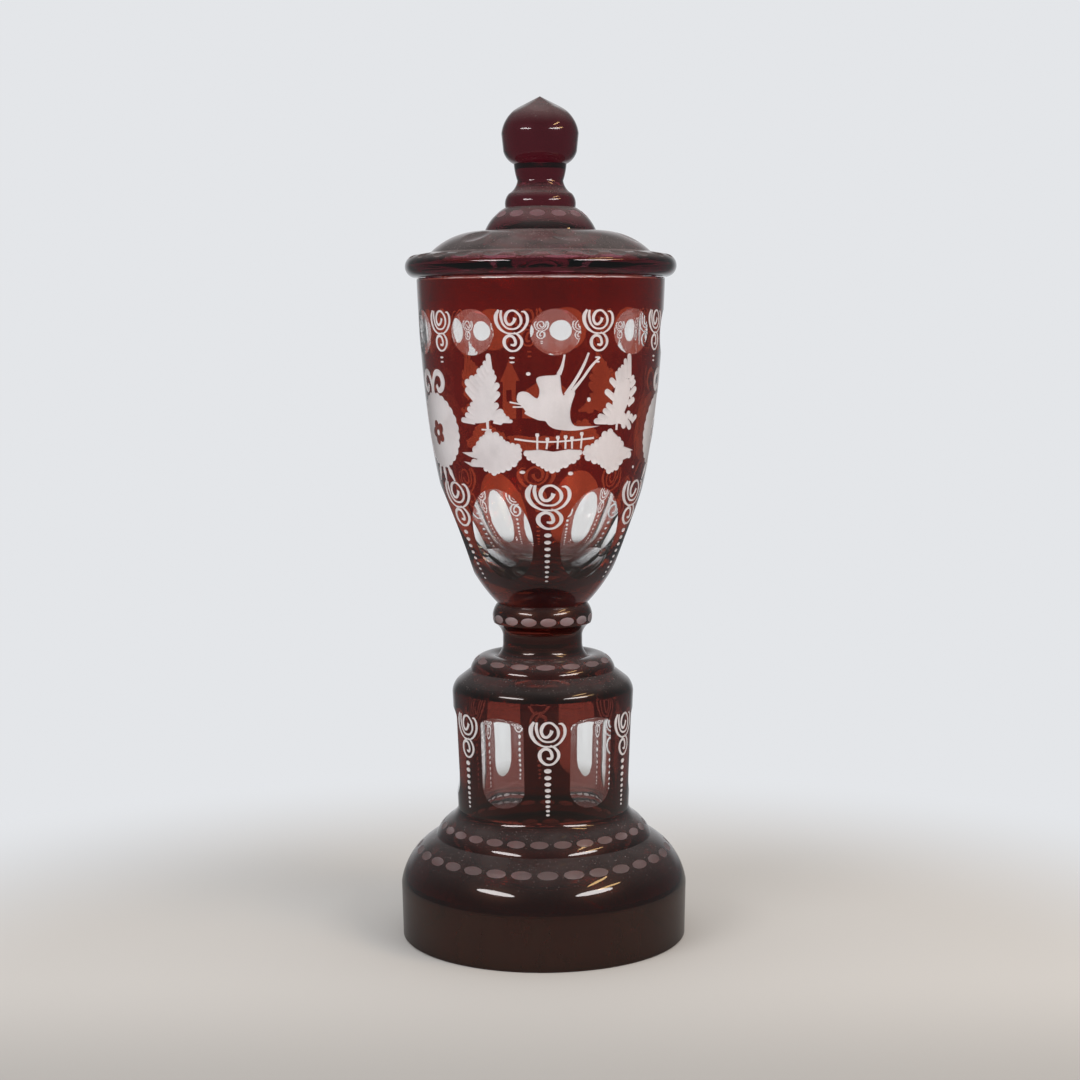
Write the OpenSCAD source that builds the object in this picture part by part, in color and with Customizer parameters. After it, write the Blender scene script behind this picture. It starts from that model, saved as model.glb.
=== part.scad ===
// Lidded glass pokal: a ruby-stained covered goblet with cut windows.
// Six glass pieces: foot, drum, stem and bowl are fused, lid and finial lift off together.
// Millimetres, +Z up, origin on the table at the middle of the foot; the front faces -Y.
// Every outline is drawn as [radius, height] and turned round the Z axis.

/* [Foot] */
// Largest radius of the foot, at the top of its upright band
foot_r = 62.2; // [58:0.1:68]
// How much narrower the foot is at the table
foot_taper = 0.5; // [0:0.1:1.5]
// Bevel round the edge that meets the table
foot_bevel = 0.6; // [0.3:0.1:1.2]
// Height of the upright band of the foot
foot_band_h = 23.6; // [18:0.1:30]
// Rise of the lower swell, from the band to the crease
foot_swell_h = 20.6; // [16:0.1:25]
// Swelling of the lower swell past a straight slope
foot_swell_bulge = 3.1; // [1:0.1:5]
// Radius of the crease between the two swells
crease_r = 46.9; // [44:0.1:50]
// Rise of the upper swell, from the crease to the cove under the drum
step_h = 7.8; // [6:0.1:11]
// Swelling of the upper swell past a straight slope
step_bulge = 0.8; // [0.4:0.1:1.6]
// Radius where the upper swell ends
step_r = 40.4; // [39:0.1:43]
// Height of the small cove under the drum
cove_h = 4.1; // [3:0.1:6]
// Hollow of the small cove
cove_dip = 0.4; // [0.1:0.1:0.8]
// Wall of the foot at the table
foot_wall = 7; // [5:0.1:9]

/* [Drum] */
// Radius of the joint between foot and drum
drum_low_r = 37.2; // [35:0.1:38.6]
// Radius of the drum at its upper end
drum_top_r = 39.3; // [37.5:0.1:41]
// Height of the drum up to its shoulder
drum_h = 51; // [46:0.5:58]
// Rise of the rounded shoulder above the drum
shoulder_h = 5.4; // [4.5:0.1:8]
// How far the shoulder draws in
shoulder_in = 2.3; // [1.5:0.1:4]
// Rise of the slope from the shoulder to the mound
slope_h = 4.3; // [2.5:0.1:6]
// How far the slope draws in
slope_in = 5.6; // [4:0.1:7]
// Rise of the mound that carries the stem
mound_h = 5.8; // [4:0.1:8]
// Swelling of the mound past a straight slope
mound_bulge = 3.3; // [2:0.1:3.8]
// Wall of the drum
drum_wall = 5.2; // [4:0.1:7]
// Rise of the vaulted ceiling of the hollow
vault_h = 7; // [4:0.1:10]

/* [Stem] */
// Radius of the joint between drum and stem
stem_foot_r = 19.8; // [18:0.1:23]
// Least radius of the neck
neck_r = 17.2; // [14:0.1:19]
// Rise of the cove from the joint to the neck
neck_cove_h = 5.2; // [4:0.1:7]
// Height of the plain neck
neck_h = 4; // [2:0.1:7]
// Rise of the flare from the neck to the collar
flare_h = 5.4; // [4:0.1:8]
// Radius at the lower edge of the collar
collar_r = 21.1; // [19:0.1:24]
// Height of the collar
collar_h = 8.5; // [6:0.1:12]
// Swelling of the collar
collar_bulge = 1.15; // [0.5:0.05:1.8]
// Radius of the joint between stem and bowl
bowl_foot_r = 19.4; // [18:0.1:21.5]

/* [Bowl] */
// Height of the bowl from its joint to the rim
bowl_h = 139.2; // [120:0.5:160]
// Outer radius of the rim
rim_r = 52.9; // [50:0.1:57]
// How far out the lower swell of the bowl is pulled
bowl_pull_out = 21.2; // [18:0.1:24]
// How far up the lower swell of the bowl is pulled
bowl_pull_up = 21.4; // [18:0.1:26]
// How far the upper wall leans in below the rim
bowl_lean = 2.7; // [1:0.1:4]
// How far down that lean reaches
bowl_lean_drop = 75; // [65:0.5:85]
// Wall at the rim
rim_wall = 4.2; // [3.5:0.1:5.5]
// Rounding of the rim's two edges
rim_round = 0.8; // [0.4:0.1:1.2]
// Glass under the bowl's inside
bowl_floor = 12; // [9:0.1:16]
// How far out the inside's floor is pulled
floor_pull_out = 36; // [32:0.1:38]
// Extra wall low in the bowl, which the oval windows cut into
low_wall_extra = 1.5; // [1:0.1:2.5]

/* [Lid] */
// How far the lid's flange stands out past the bowl's rim
flange_over = 4.9; // [3:0.1:7]
// Thickness of the flange
flange_t = 9.6; // [8:0.1:12]
// Rounding of the flange's edge
flange_bulge = 4.25; // [3:0.05:4.7]
// Inner radius of the flange's upper shelf
shelf_r = 46.8; // [44:0.1:49]
// Rise of the shelf
shelf_rise = 1.2; // [0.5:0.1:2.5]
// Radius where the dome meets the crown
crown_r = 23.8; // [21:0.1:27]
// Rise of the dome
dome_h = 8.7; // [7:0.1:12]
// Swelling of the dome past a straight slope
dome_bulge = 2.6; // [1:0.1:3]
// Rise of the crown
crown_h = 10; // [8:0.1:13]
// Swelling of the crown past a straight slope
crown_bulge = 1.2; // [0.5:0.1:2]
// Depth of the ring under the lid that sits in the bowl
tenon_depth = 10; // [7:0.1:14]
// Wall of that ring
tenon_wall = 3.6; // [2.5:0.1:5]
// Gap between that ring and the bowl's mouth
tenon_clear = 1.2; // [0.9:0.1:2]
// Gap between the flange and the rim it rests on
seat_gap = 0.2; // [0.1:0.05:0.4]
// Rise of the hollow's edge above the flange's underside
lid_hollow_edge = 5; // [3:0.1:6.5]
// Rise of the hollow's middle above its edge
lid_hollow_h = 9; // [6:0.1:11]

/* [Finial] */
// Radius of the joint between lid and finial
finial_foot_r = 14.9; // [13:0.1:17]
// Height of the bead on the joint
bead_h = 5.8; // [4:0.1:8]
// Upper radius of that bead
bead_top_r = 13.5; // [12:0.1:14.5]
// Rise of the cove above the bead
finial_cove_h = 5.4; // [4:0.1:8]
// Least radius of the finial's neck
finial_neck_r = 9.75; // [8:0.05:11]
// Rise of the neck up to the knob
finial_neck_h = 7; // [5:0.1:10]
// Radius under the knob
knob_foot_r = 11.2; // [10.4:0.1:12.5]
// Rise of the knob's rounded underside
knob_under_h = 5.2; // [4:0.1:7]
// Radius at the lower edge of the knob's side
knob_low_r = 15.6; // [14:0.1:17]
// Height of the knob's side
knob_side_h = 7.5; // [4:0.1:9]
// Largest radius of the knob
knob_r = 16.4; // [15:0.1:18.5]
// Rise of the knob's rounded shoulder
knob_shoulder_h = 10.8; // [8:0.1:13]
// Radius where the pointed top starts
knob_top_r = 9.4; // [8:0.1:12]
// Rise of the pointed top
knob_top_h = 5.4; // [4:0.1:8]
// Depth of the flat facets round the point
facet_depth = 0.55; // [0.2:0.05:1]

/* [Windows] */
// Round windows under the rim
round_count = 9; // [6:1:10]
// Height of their middles below the rim
round_drop = 22.6; // [18:0.1:30]
// Depth of their cut
round_depth = 1.05; // [0.7:0.05:1.4]
// Radius of the wheel that cuts them
round_wheel_r = 45; // [30:1:60]
// Turn of their ring from +X
round_turn = -83.4; // [-90:0.1:90]
// Oval windows low on the bowl
oval_count = 6; // [5:1:6]
// Height of their middles above the bowl's joint
oval_rise = 31; // [29:0.1:36]
// Depth of their cut
oval_depth = 2.4; // [1.6:0.1:2.8]
// Radius of the wheel that cuts them
oval_wheel_r = 300; // [200:10:400]
// Turn of their ring from +X
oval_turn = -57; // [-90:0.5:90]
// Tall windows in the drum
tall_count = 6; // [5:1:6]
// Height of their flat floor
tall_flat_h = 26.5; // [20:0.5:30]
// Drop from the top of the drum to the flat floor
tall_drop = 10; // [8:0.1:12]
// Depth of their cut
tall_depth = 1.35; // [1:0.05:1.8]
// Rounding of their upper end
tall_top_round = 6; // [4:0.5:10]
// Rounding of their lower end
tall_low_round = 26; // [16:1:36]
// Turn of their ring from +X
tall_turn = -57.5; // [-90:0.1:90]

/* [Printies] */
// Oval printies in the foot's lower ring
foot_low_count = 31; // [24:1:34]
// Turn of that ring from +X
foot_low_turn = -88.3; // [-180:0.1:180]
// Depth of its printies
foot_low_depth = 0.13; // [0.1:0.01:0.2]
// Oval printies in the foot's upper ring
foot_up_count = 28; // [20:1:30]
// Turn of that ring from +X
foot_up_turn = -92.4; // [-180:0.1:180]
// Depth of its printies
foot_up_depth = 0.13; // [0.08:0.01:0.18]
// Oval printies round the mound
mound_count = 16; // [12:1:18]
// Turn of that ring from +X
mound_turn = -87.6; // [-180:0.1:180]
// Depth of its printies
mound_printy_depth = 0.2; // [0.1:0.01:0.28]
// Radius of the wheel that cuts the printies of foot and mound
foot_wheel_r = 45; // [30:1:70]
// Oval printies round the collar
collar_count = 16; // [12:1:18]
// Turn of that ring from +X
collar_turn = -83.4; // [-180:0.1:180]
// Depth of its printies
collar_printy_depth = 0.28; // [0.15:0.01:0.35]
// Radius of the wheel that cuts them
collar_wheel_r = 17; // [12:1:30]
// Oval printies round the lid's crown
crown_count = 13; // [10:1:15]
// Turn of that ring from +X
crown_turn = -94.2; // [-180:0.1:180]
// Depth of its printies
crown_printy_depth = 0.2; // [0.1:0.01:0.28]
// Radius of the wheel that cuts them
crown_wheel_r = 20; // [12:1:40]
// Large shallow hollows round the lid's dome
dome_count = 6; // [5:1:6]
// Turn of that ring from +X
dome_turn = -75; // [-180:0.1:180]
// Depth of the dome's hollows
dome_hollow_depth = 0.9; // [0.5:0.05:1.2]
// Radius of the ball that cuts them
dome_ball_r = 40; // [30:1:60]
// Scallops along the flange's upper edge
scallop_count = 26; // [20:1:30]
// Depth of the flange's scallops
scallop_depth = 0.9; // [0.5:0.05:1.1]
// Radius of the ball that cuts them
scallop_ball_r = 9; // [7:0.5:14]
// Facets round the finial's point
facet_count = 6; // [5:1:8]

/* [Hidden] */
$fn = 96;
// Facets of the wheels, fine enough that their rims stay round
wheel_fn = 720;
// Steps in one arc, and in the two long curves of the bowl
arc_steps = 8;
curve_steps = 32;
// How far a cutter reaches out past the glass
reach = 40;
// Radius of a printy's stone, as a share of half the distance to the next one
stone_share = 0.96;

// Heights, each from the piece under it
crease_z = foot_band_h + foot_swell_h;
step_z = crease_z + step_h;
drum_z = step_z + cove_h;
drum_top_z = drum_z + drum_h;
shoulder_z = drum_top_z + shoulder_h;
slope_z = shoulder_z + slope_h;
stem_z = slope_z + mound_h;
neck_z = stem_z + neck_cove_h;
flare_z = neck_z + neck_h;
collar_z = flare_z + flare_h;
bowl_z = collar_z + collar_h;
rim_z = bowl_z + bowl_h;
lid_z = rim_z + seat_gap;
shelf_z = lid_z + flange_t;
dome_z = shelf_z + shelf_rise;
crown_z = dome_z + dome_h;
finial_z = crown_z + crown_h;

// Radii that follow from others
foot_base_r = foot_r - foot_taper;
hollow_foot_r = foot_base_r - foot_wall;
hollow_drum_r = drum_low_r - drum_wall;
shoulder_r = drum_top_r - shoulder_in;
slope_r = shoulder_r - slope_in;
mouth_r = rim_r - rim_wall;
flange_r = rim_r + flange_over;
flange_edge_r = flange_r - flange_bulge;
tenon_r = mouth_r - tenon_clear;
tenon_in_r = tenon_r - tenon_wall;

// A quarter circle's rise over its chord, as a share of its radius
quarter_bulge = 1 - sqrt(0.5);

// Arcs of the outside that carry printies: start, end, bulge
lower_swell = [[foot_r, foot_band_h], [crease_r, crease_z], foot_swell_bulge];
upper_swell = [[crease_r, crease_z], [step_r, step_z], step_bulge];
mound_arc = [[slope_r, slope_z], [stem_foot_r, stem_z], mound_bulge];
collar_arc = [[collar_r, collar_z], [bowl_foot_r, bowl_z], collar_bulge];
dome_arc = [[shelf_r, dome_z], [crown_r, crown_z], dome_bulge];
crown_arc = [[crown_r, crown_z], [finial_foot_r, finial_z], crown_bulge];

// Where each ring of printies sits, as a share of its arc
foot_low_place = 0.66;
foot_up_place = 0.57;
mound_place = 0.38;
collar_place = 0.27;
dome_place = 0.42;
crown_place = 0.62;
// Slope of the scallops' cut, in degrees above level
scallop_slope = 62;

// Arc from p to q that bulges to the right of the way from p to q
function arc_radius(p, q, bulge) = (pow(norm(q - p) / 2, 2) + bulge * bulge) / (2 * bulge);
function right_of(p, q) = [q[1] - p[1], p[0] - q[0]] / norm(q - p);
function arc_centre(p, q, bulge) =
    (p + q) / 2 + right_of(p, q) * (bulge - arc_radius(p, q, bulge));
function arc_half_angle(p, q, bulge) = 2 * atan(2 * bulge / norm(q - p));
function spun(v, a) = [v[0] * cos(a) - v[1] * sin(a), v[0] * sin(a) + v[1] * cos(a)];
function arc_normal(p, q, bulge, share) =
    spun(right_of(p, q), (2 * share - 1) * arc_half_angle(p, q, bulge));
function arc_point(p, q, bulge, share) =
    arc_centre(p, q, bulge) + arc_normal(p, q, bulge, share) * arc_radius(p, q, bulge);
function arc(p, q, bulge) = [for (i = [0 : arc_steps]) arc_point(p, q, bulge, i / arc_steps)];
function arc_of(a) = arc(a[0], a[1], a[2]);

// Curve with two handles
function curve_point(a, b, c, d, t) =
    pow(1 - t, 3) * a + 3 * t * pow(1 - t, 2) * b + 3 * t * t * (1 - t) * c + pow(t, 3) * d;
function curve(a, b, c, d) =
    [for (i = [0 : curve_steps]) curve_point(a, b, c, d, i / curve_steps)];

// Bowl wall, outside from the joint up and inside from the floor up
bowl_low = [bowl_foot_r, bowl_z];
bowl_top = [rim_r, rim_z - rim_round];
inner_floor = [0, bowl_z + bowl_floor];
inner_top = [mouth_r, rim_z - rim_round];
bowl_outside = curve(
    bowl_low,
    bowl_low + [bowl_pull_out, bowl_pull_up],
    bowl_top - [bowl_lean, bowl_lean_drop],
    bowl_top);
bowl_inside = curve(
    inner_floor,
    inner_floor + [floor_pull_out, 0],
    inner_top - [bowl_lean + low_wall_extra, bowl_lean_drop],
    inner_top);

// Radius and lean of the bowl's outside at a height
bowl_table = [for (p = bowl_outside) [p[1], p[0]]];
function bowl_r(z) = lookup(z, bowl_table);
function bowl_lean_at(z) = atan((bowl_r(z + 2) - bowl_r(z - 2)) / 4);
function reversed(points) = [for (i = [len(points) - 1 : -1 : 0]) points[i]];

// One turned solid from an outline
module turned(outline) {
    rotate_extrude()
        polygon(outline);
}

// Copies round the Z axis
module ring_of(count, turn = 0) {
    for (i = [0 : count - 1])
        rotate([0, 0, turn + i * 360 / count])
            children();
}

// Rounded stone that bites to a depth into the outside at a point with that normal
module ball_cut(point, normal, ball_r, depth, stone_r) {
    translate([point[0], 0, point[1]])
        rotate([0, atan2(normal[0], normal[1]), 0])
            translate([0, 0, -depth])
                rotate_extrude()
                    intersection() {
                        translate([0, ball_r]) circle(r = ball_r);
                        translate([0, -stone_r]) square([stone_r, 2 * stone_r]);
                    }
}

// Rim of a wheel with a level axle that bites to a depth into the outside at a point with that normal
module wheel_cut(point, normal, wheel_r, depth, rim_w) {
    rim_h = 2 * sqrt(2 * wheel_r * depth);
    translate([point[0], 0, point[1]])
        rotate([0, -atan2(normal[1], normal[0]), 0])
            translate([-depth, 0, 0])
                rotate([90, 0, 0])
                    linear_extrude(height = rim_w, center = true)
                        intersection() {
                            translate([wheel_r, 0]) circle(r = wheel_r, $fn = wheel_fn);
                            square([rim_w, rim_h], center = true);
                        }
}

// Ring of round printies on one arc of the outside, cut by balls that clear each other
module round_printies(a, place, count, turn, ball_r, depth) {
    point = arc_point(a[0], a[1], a[2], place);
    ring_of(count, turn)
        ball_cut(point, arc_normal(a[0], a[1], a[2], place), ball_r, depth,
                 stone_share * point[0] * sin(180 / count));
}

// Ring of oval printies on one arc of the outside, cut by wheels that clear each other
module oval_printies(a, place, count, turn, wheel_r, depth) {
    point = arc_point(a[0], a[1], a[2], place);
    ring_of(count, turn)
        wheel_cut(point, arc_normal(a[0], a[1], a[2], place), wheel_r, depth,
                  2 * stone_share * point[0] * sin(180 / count));
}

// Ring of windows in the bowl at a height, cut square to its wall
module bowl_windows(z, count, turn, wheel_r, depth) {
    lean = bowl_lean_at(z);
    ring_of(count, turn)
        wheel_cut([bowl_r(z), z], [cos(lean), -sin(lean)], wheel_r, depth,
                  2 * stone_share * bowl_r(z) * tan(180 / count));
}

// Side view of the stone that cuts a tall window, with its flat floor on the Z axis
function tall_outline() = concat(
    [for (i = [0 : arc_steps])
        [tall_low_round * (1 - sin(90 * i / arc_steps)), -tall_low_round * cos(90 * i / arc_steps)]],
    [for (i = [0 : arc_steps])
        [tall_top_round * (1 - cos(90 * i / arc_steps)),
         tall_flat_h + tall_top_round * sin(90 * i / arc_steps)]],
    [[tall_low_round, tall_flat_h + tall_top_round]]);

// Tall window cut, laid along the drum's leaning wall
module tall_cut() {
    lean = atan((drum_top_r - drum_low_r) / drum_h);
    translate([drum_top_r, 0, drum_top_z])
        rotate([0, lean, 0])
            translate([-tall_depth, 0, -tall_drop - tall_flat_h])
                rotate([90, 0, 0])
                    linear_extrude(height = reach, center = true)
                        polygon(tall_outline());
}

// Hollow foot, from the table to the drum's joint
module foot() {
    outline = concat(
        [[foot_base_r - foot_bevel, 0], [foot_base_r, foot_bevel]],
        arc_of(lower_swell),
        arc_of(upper_swell),
        arc([step_r, step_z], [drum_low_r, drum_z], -cove_dip),
        reversed(arc([hollow_foot_r, foot_band_h], [hollow_drum_r, drum_z], foot_swell_bulge / 4)),
        [[hollow_foot_r, 0]]);
    color("#5e1a1d")
        difference() {
            turned(outline);
            oval_printies(lower_swell, foot_low_place, foot_low_count, foot_low_turn,
                          foot_wheel_r, foot_low_depth);
            oval_printies(upper_swell, foot_up_place, foot_up_count, foot_up_turn,
                          foot_wheel_r, foot_up_depth);
        }
}

// Hollow drum with its solid shoulder and mound, from the foot to the stem's joint
module drum() {
    vault_top = [0, drum_top_z + vault_h];
    outline = concat(
        [[hollow_drum_r, drum_z], [drum_low_r, drum_z]],
        arc([drum_top_r, drum_top_z], [shoulder_r, shoulder_z], shoulder_in / 4),
        arc_of(mound_arc),
        [[0, stem_z]],
        reversed(arc([drum_top_r - drum_wall, drum_top_z], vault_top, vault_h / 4)));
    color("#641c1f")
        difference() {
            turned(outline);
            ring_of(tall_count, tall_turn) tall_cut();
            oval_printies(mound_arc, mound_place, mound_count, mound_turn,
                          foot_wheel_r, mound_printy_depth);
        }
}

// Solid neck and collar between drum and bowl
module stem() {
    outline = concat(
        [[0, stem_z]],
        arc([stem_foot_r, stem_z], [neck_r, neck_z], -(stem_foot_r - neck_r) / 4),
        arc([neck_r, flare_z], [collar_r, collar_z], -(collar_r - neck_r) / 5),
        arc_of(collar_arc),
        [[0, bowl_z]]);
    color("#6a1c20")
        difference() {
            turned(outline);
            oval_printies(collar_arc, collar_place, collar_count, collar_turn,
                          collar_wheel_r, collar_printy_depth);
        }
}

// Bowl with its round and oval windows
module bowl() {
    outline = concat(
        [[0, bowl_z]],
        bowl_outside,
        arc(bowl_top, [rim_r - rim_round, rim_z], quarter_bulge * rim_round),
        arc([mouth_r + rim_round, rim_z], inner_top, quarter_bulge * rim_round),
        reversed(bowl_inside));
    color("#8a2420")
        difference() {
            turned(outline);
            bowl_windows(rim_z - round_drop, round_count, round_turn, round_wheel_r, round_depth);
            bowl_windows(bowl_z + oval_rise, oval_count, oval_turn, oval_wheel_r, oval_depth);
        }
}

// Lid with its flange, dome and crown, and the ring that sits in the bowl
module lid() {
    hollow_edge = [tenon_in_r, lid_z + lid_hollow_edge];
    hollow_top = [0, hollow_edge[1] + lid_hollow_h];
    flange_corner = [flange_edge_r, shelf_z];
    outline = concat(
        [[tenon_in_r, lid_z - tenon_depth], [tenon_r, lid_z - tenon_depth], [tenon_r, lid_z]],
        arc([flange_edge_r, lid_z], flange_corner, flange_bulge),
        arc_of(dome_arc),
        arc_of(crown_arc),
        [[0, finial_z], hollow_top],
        reversed(arc(hollow_edge, hollow_top, lid_hollow_h / 4)));
    color("#6f1f22")
        difference() {
            turned(outline);
            ring_of(scallop_count)
                ball_cut(flange_corner, [cos(scallop_slope), sin(scallop_slope)], scallop_ball_r,
                         scallop_depth, stone_share * flange_edge_r * sin(180 / scallop_count));
            round_printies(dome_arc, dome_place, dome_count, dome_turn, dome_ball_r, dome_hollow_depth);
            oval_printies(crown_arc, crown_place, crown_count, crown_turn, crown_wheel_r, crown_printy_depth);
        }
}

// Solid finial: bead, neck and a knob with a faceted point
module finial() {
    cove_z = finial_z + bead_h;
    neck_low_z = cove_z + finial_cove_h;
    knob_z = neck_low_z + finial_neck_h;
    side_z = knob_z + knob_under_h;
    shoulder_low_z = side_z + knob_side_h;
    point_z = shoulder_low_z + knob_shoulder_h;
    tip_z = point_z + knob_top_h;
    top_slope = atan(knob_top_h / knob_top_r);
    outline = concat(
        [[0, finial_z]],
        arc([finial_foot_r, finial_z], [bead_top_r, cove_z], bead_h / 8),
        arc([bead_top_r, cove_z], [finial_neck_r, neck_low_z], -finial_cove_h / 7),
        arc([finial_neck_r, neck_low_z], [knob_foot_r, knob_z], finial_neck_h / 30),
        arc([knob_foot_r, knob_z], [knob_low_r, side_z], knob_under_h / 7),
        arc([knob_r, shoulder_low_z], [knob_top_r, point_z], knob_shoulder_h / 7),
        [[0, tip_z]]);
    color("#5a181c")
        difference() {
            turned(outline);
            ring_of(facet_count, 180 / facet_count)
                translate([0, 0, tip_z])
                    rotate([0, top_slope, 0])
                        translate([0, 0, reach / 2 - facet_depth])
                            cube(reach, center = true);
        }
}

foot();
drum();
stem();
bowl();
lid();
finial();
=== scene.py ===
import math
from bisect import bisect_left
from functools import cache

import bmesh
import bpy
from bpy.props import FloatProperty, FloatVectorProperty, IntProperty, PointerProperty
from mathutils import Matrix, Vector


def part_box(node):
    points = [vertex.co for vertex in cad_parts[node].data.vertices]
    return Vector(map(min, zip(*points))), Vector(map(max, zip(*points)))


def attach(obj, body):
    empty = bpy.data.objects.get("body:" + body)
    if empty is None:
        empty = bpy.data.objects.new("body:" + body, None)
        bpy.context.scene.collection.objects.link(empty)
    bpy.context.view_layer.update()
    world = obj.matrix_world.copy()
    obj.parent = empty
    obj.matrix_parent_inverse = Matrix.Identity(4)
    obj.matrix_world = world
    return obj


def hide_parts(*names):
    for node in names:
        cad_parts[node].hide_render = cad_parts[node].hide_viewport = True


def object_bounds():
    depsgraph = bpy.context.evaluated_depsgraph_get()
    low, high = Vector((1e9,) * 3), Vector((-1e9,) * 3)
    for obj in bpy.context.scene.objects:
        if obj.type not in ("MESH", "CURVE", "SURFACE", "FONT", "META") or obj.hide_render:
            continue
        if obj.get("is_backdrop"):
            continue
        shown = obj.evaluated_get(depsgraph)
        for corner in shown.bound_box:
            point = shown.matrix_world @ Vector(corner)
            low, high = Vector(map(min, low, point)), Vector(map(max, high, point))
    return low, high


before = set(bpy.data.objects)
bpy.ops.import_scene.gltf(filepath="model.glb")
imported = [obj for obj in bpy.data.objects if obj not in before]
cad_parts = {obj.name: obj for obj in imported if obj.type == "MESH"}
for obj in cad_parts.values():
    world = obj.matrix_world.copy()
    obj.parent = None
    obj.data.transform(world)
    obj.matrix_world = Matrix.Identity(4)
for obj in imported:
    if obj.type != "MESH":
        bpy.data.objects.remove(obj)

bl_info = {
    "name": "Ruby Pokal",
    "version": (1, 0, 0),
    "blender": (4, 5, 0),
    "location": "View3D > Sidebar > Pokal",
    "description": "Builds the cut, stained and engraved glass of a covered goblet",
    "category": "Add Mesh",
}

CAD_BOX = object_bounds()

# Glass is shaped in millimetres and scaled to metres when a piece is finished
MM = 0.001

# Finishes of the glass, in the order of a piece's material slots
RUBY, MAROON, BROWN, CLEAR, WINDOW, PRINTY, FROST, SEAM = range(8)

# Settings that every colour shares
COLOUR = {"subtype": "COLOR", "size": 3, "min": 0, "max": 1}


def height(node, end):
    """Lowest (0) or highest (1) point of a CAD node, in millimetres."""
    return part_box(node)[end].z / MM


# Heights of the joints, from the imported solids
DRUM_Z = height("foot", 1)
STEM_Z = height("stem", 0)
BOWL_Z = height("bowl", 0)
RIM_Z = height("bowl", 1)
TENON_Z = height("lid", 0)
FINIAL_Z = height("finial", 0)
TIP_Z = height("finial", 1)
SEAT_GAP = 0.2
LID_Z = RIM_Z + SEAT_GAP
FOOT_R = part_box("foot")[1].x / MM
FLANGE_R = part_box("lid")[1].x / MM


class PokalGlass(bpy.types.PropertyGroup):
    """Colours of the glass and what lies on it."""

    ruby: FloatVectorProperty(
        name="Ruby", description="What two walls of the bowl let through where the stain is full",
        default=(0.104, 0.0013, 0.00015), **COLOUR)
    ruby_thin: FloatVectorProperty(
        name="Thin ruby", description="The same where the stain is brushed thin",
        default=(0.16, 0.0024, 0.0003), **COLOUR)
    maroon: FloatVectorProperty(
        name="Maroon", description="Full stain of the cover", default=(0.060, 0.0030, 0.0075), **COLOUR)
    maroon_thin: FloatVectorProperty(
        name="Thin maroon", description="The same where the stain is brushed thin",
        default=(0.090, 0.0060, 0.0120), **COLOUR)
    brown: FloatVectorProperty(
        name="Brown", description="Full stain of foot, drum and stem",
        default=(0.026, 0.0005, 0.0002), **COLOUR)
    brown_thin: FloatVectorProperty(
        name="Thin brown", description="The same where the stain is brushed thin",
        default=(0.043, 0.0010, 0.0004), **COLOUR)
    clear: FloatVectorProperty(
        name="Clear glass", description="Tint of the glass without stain",
        default=(0.985, 0.985, 0.975), **COLOUR)
    frost: FloatVectorProperty(
        name="Engraving", description="Matt ground of the engraving", default=(0.96, 0.91, 0.90), **COLOUR)
    printy: FloatVectorProperty(
        name="Printies", description="Ground of the printies that aren't polished",
        default=(0.78, 0.61, 0.60), **COLOUR)
    bronze: FloatVectorProperty(
        name="Bronze sheen", description="Sheen that the firing leaves on foot, drum and stem",
        default=(0.30, 0.135, 0.09), **COLOUR)
    plum: FloatVectorProperty(
        name="Plum sheen", description="Sheen that the firing leaves on cover and bowl",
        default=(0.30, 0.15, 0.17), **COLOUR)
    dust: FloatVectorProperty(
        name="Dust", description="Film of dust on the faces that look up",
        default=(0.47, 0.375, 0.36), **COLOUR)
    dust_cover: FloatProperty(
        name="Dust cover", description="Most that the film of dust covers",
        subtype="FACTOR", min=0, max=1, default=0.09)


class PokalCutting(bpy.types.PropertyGroup):
    """How finely the glass is turned and how deep it is engraved."""

    segments: IntProperty(
        name="Segments", description="Steps round each turned form", min=96, max=512, default=288)
    engraving_depth: FloatProperty(
        name="Engraving depth", description="Depth of the matt engraving",
        unit="LENGTH", min=0.0001, max=0.0006, default=0.00022, precision=5)


class PokalStage(bpy.types.PropertyGroup):
    """Floor, background and light round the goblet."""

    floor: FloatVectorProperty(
        name="Floor", description="Colour of the floor near the goblet",
        default=(0.645, 0.62, 0.585), **COLOUR)
    wall: FloatVectorProperty(
        name="Background", description="Colour of the background", default=(0.775, 0.79, 0.815), **COLOUR)
    lamp_power: FloatProperty(
        name="Lamp power", description="Power of each soft lamp", unit="POWER", min=0, max=100, default=3)


# Outlines, as points of radius and height

def right_of(along):
    """Direction to the right of a way."""
    return Vector((along.y, -along.x)).normalized()


def arc(p, q, bulge, steps=12):
    """Arc from p to q that bulges to the right of the way from p to q."""
    p, q = Vector(p), Vector(q)
    along = q - p
    right = right_of(along)
    radius = (along.length_squared / 4 + bulge * bulge) / (2 * bulge)
    centre = (p + q) / 2 + right * (bulge - radius)
    half = 2 * math.atan(2 * bulge / along.length)
    turns = (half * (2 * i / steps - 1) for i in range(steps + 1))
    return [centre + Matrix.Rotation(a, 2) @ right * radius for a in turns]


def arc_place(p, q, bulge, share, steps=200):
    """Point and outward normal at a share of an arc."""
    points = arc(p, q, bulge, steps)
    i = round(share * steps)
    return points[i], right_of(points[min(i + 1, steps)] - points[max(i - 1, 0)])


def curve(a, b, c, d, steps=64):
    """Curve with two handles."""
    a, b, c, d = map(Vector, (a, b, c, d))
    shares = (i / steps for i in range(steps + 1))
    return [(1 - t) ** 3 * a + 3 * t * (1 - t) ** 2 * b + 3 * t * t * (1 - t) * c + t ** 3 * d
            for t in shares]


def straight(p, q, steps=1):
    """Line from p to q."""
    p, q = Vector(p), Vector(q)
    return [p.lerp(q, i / steps) for i in range(steps + 1)]


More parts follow.
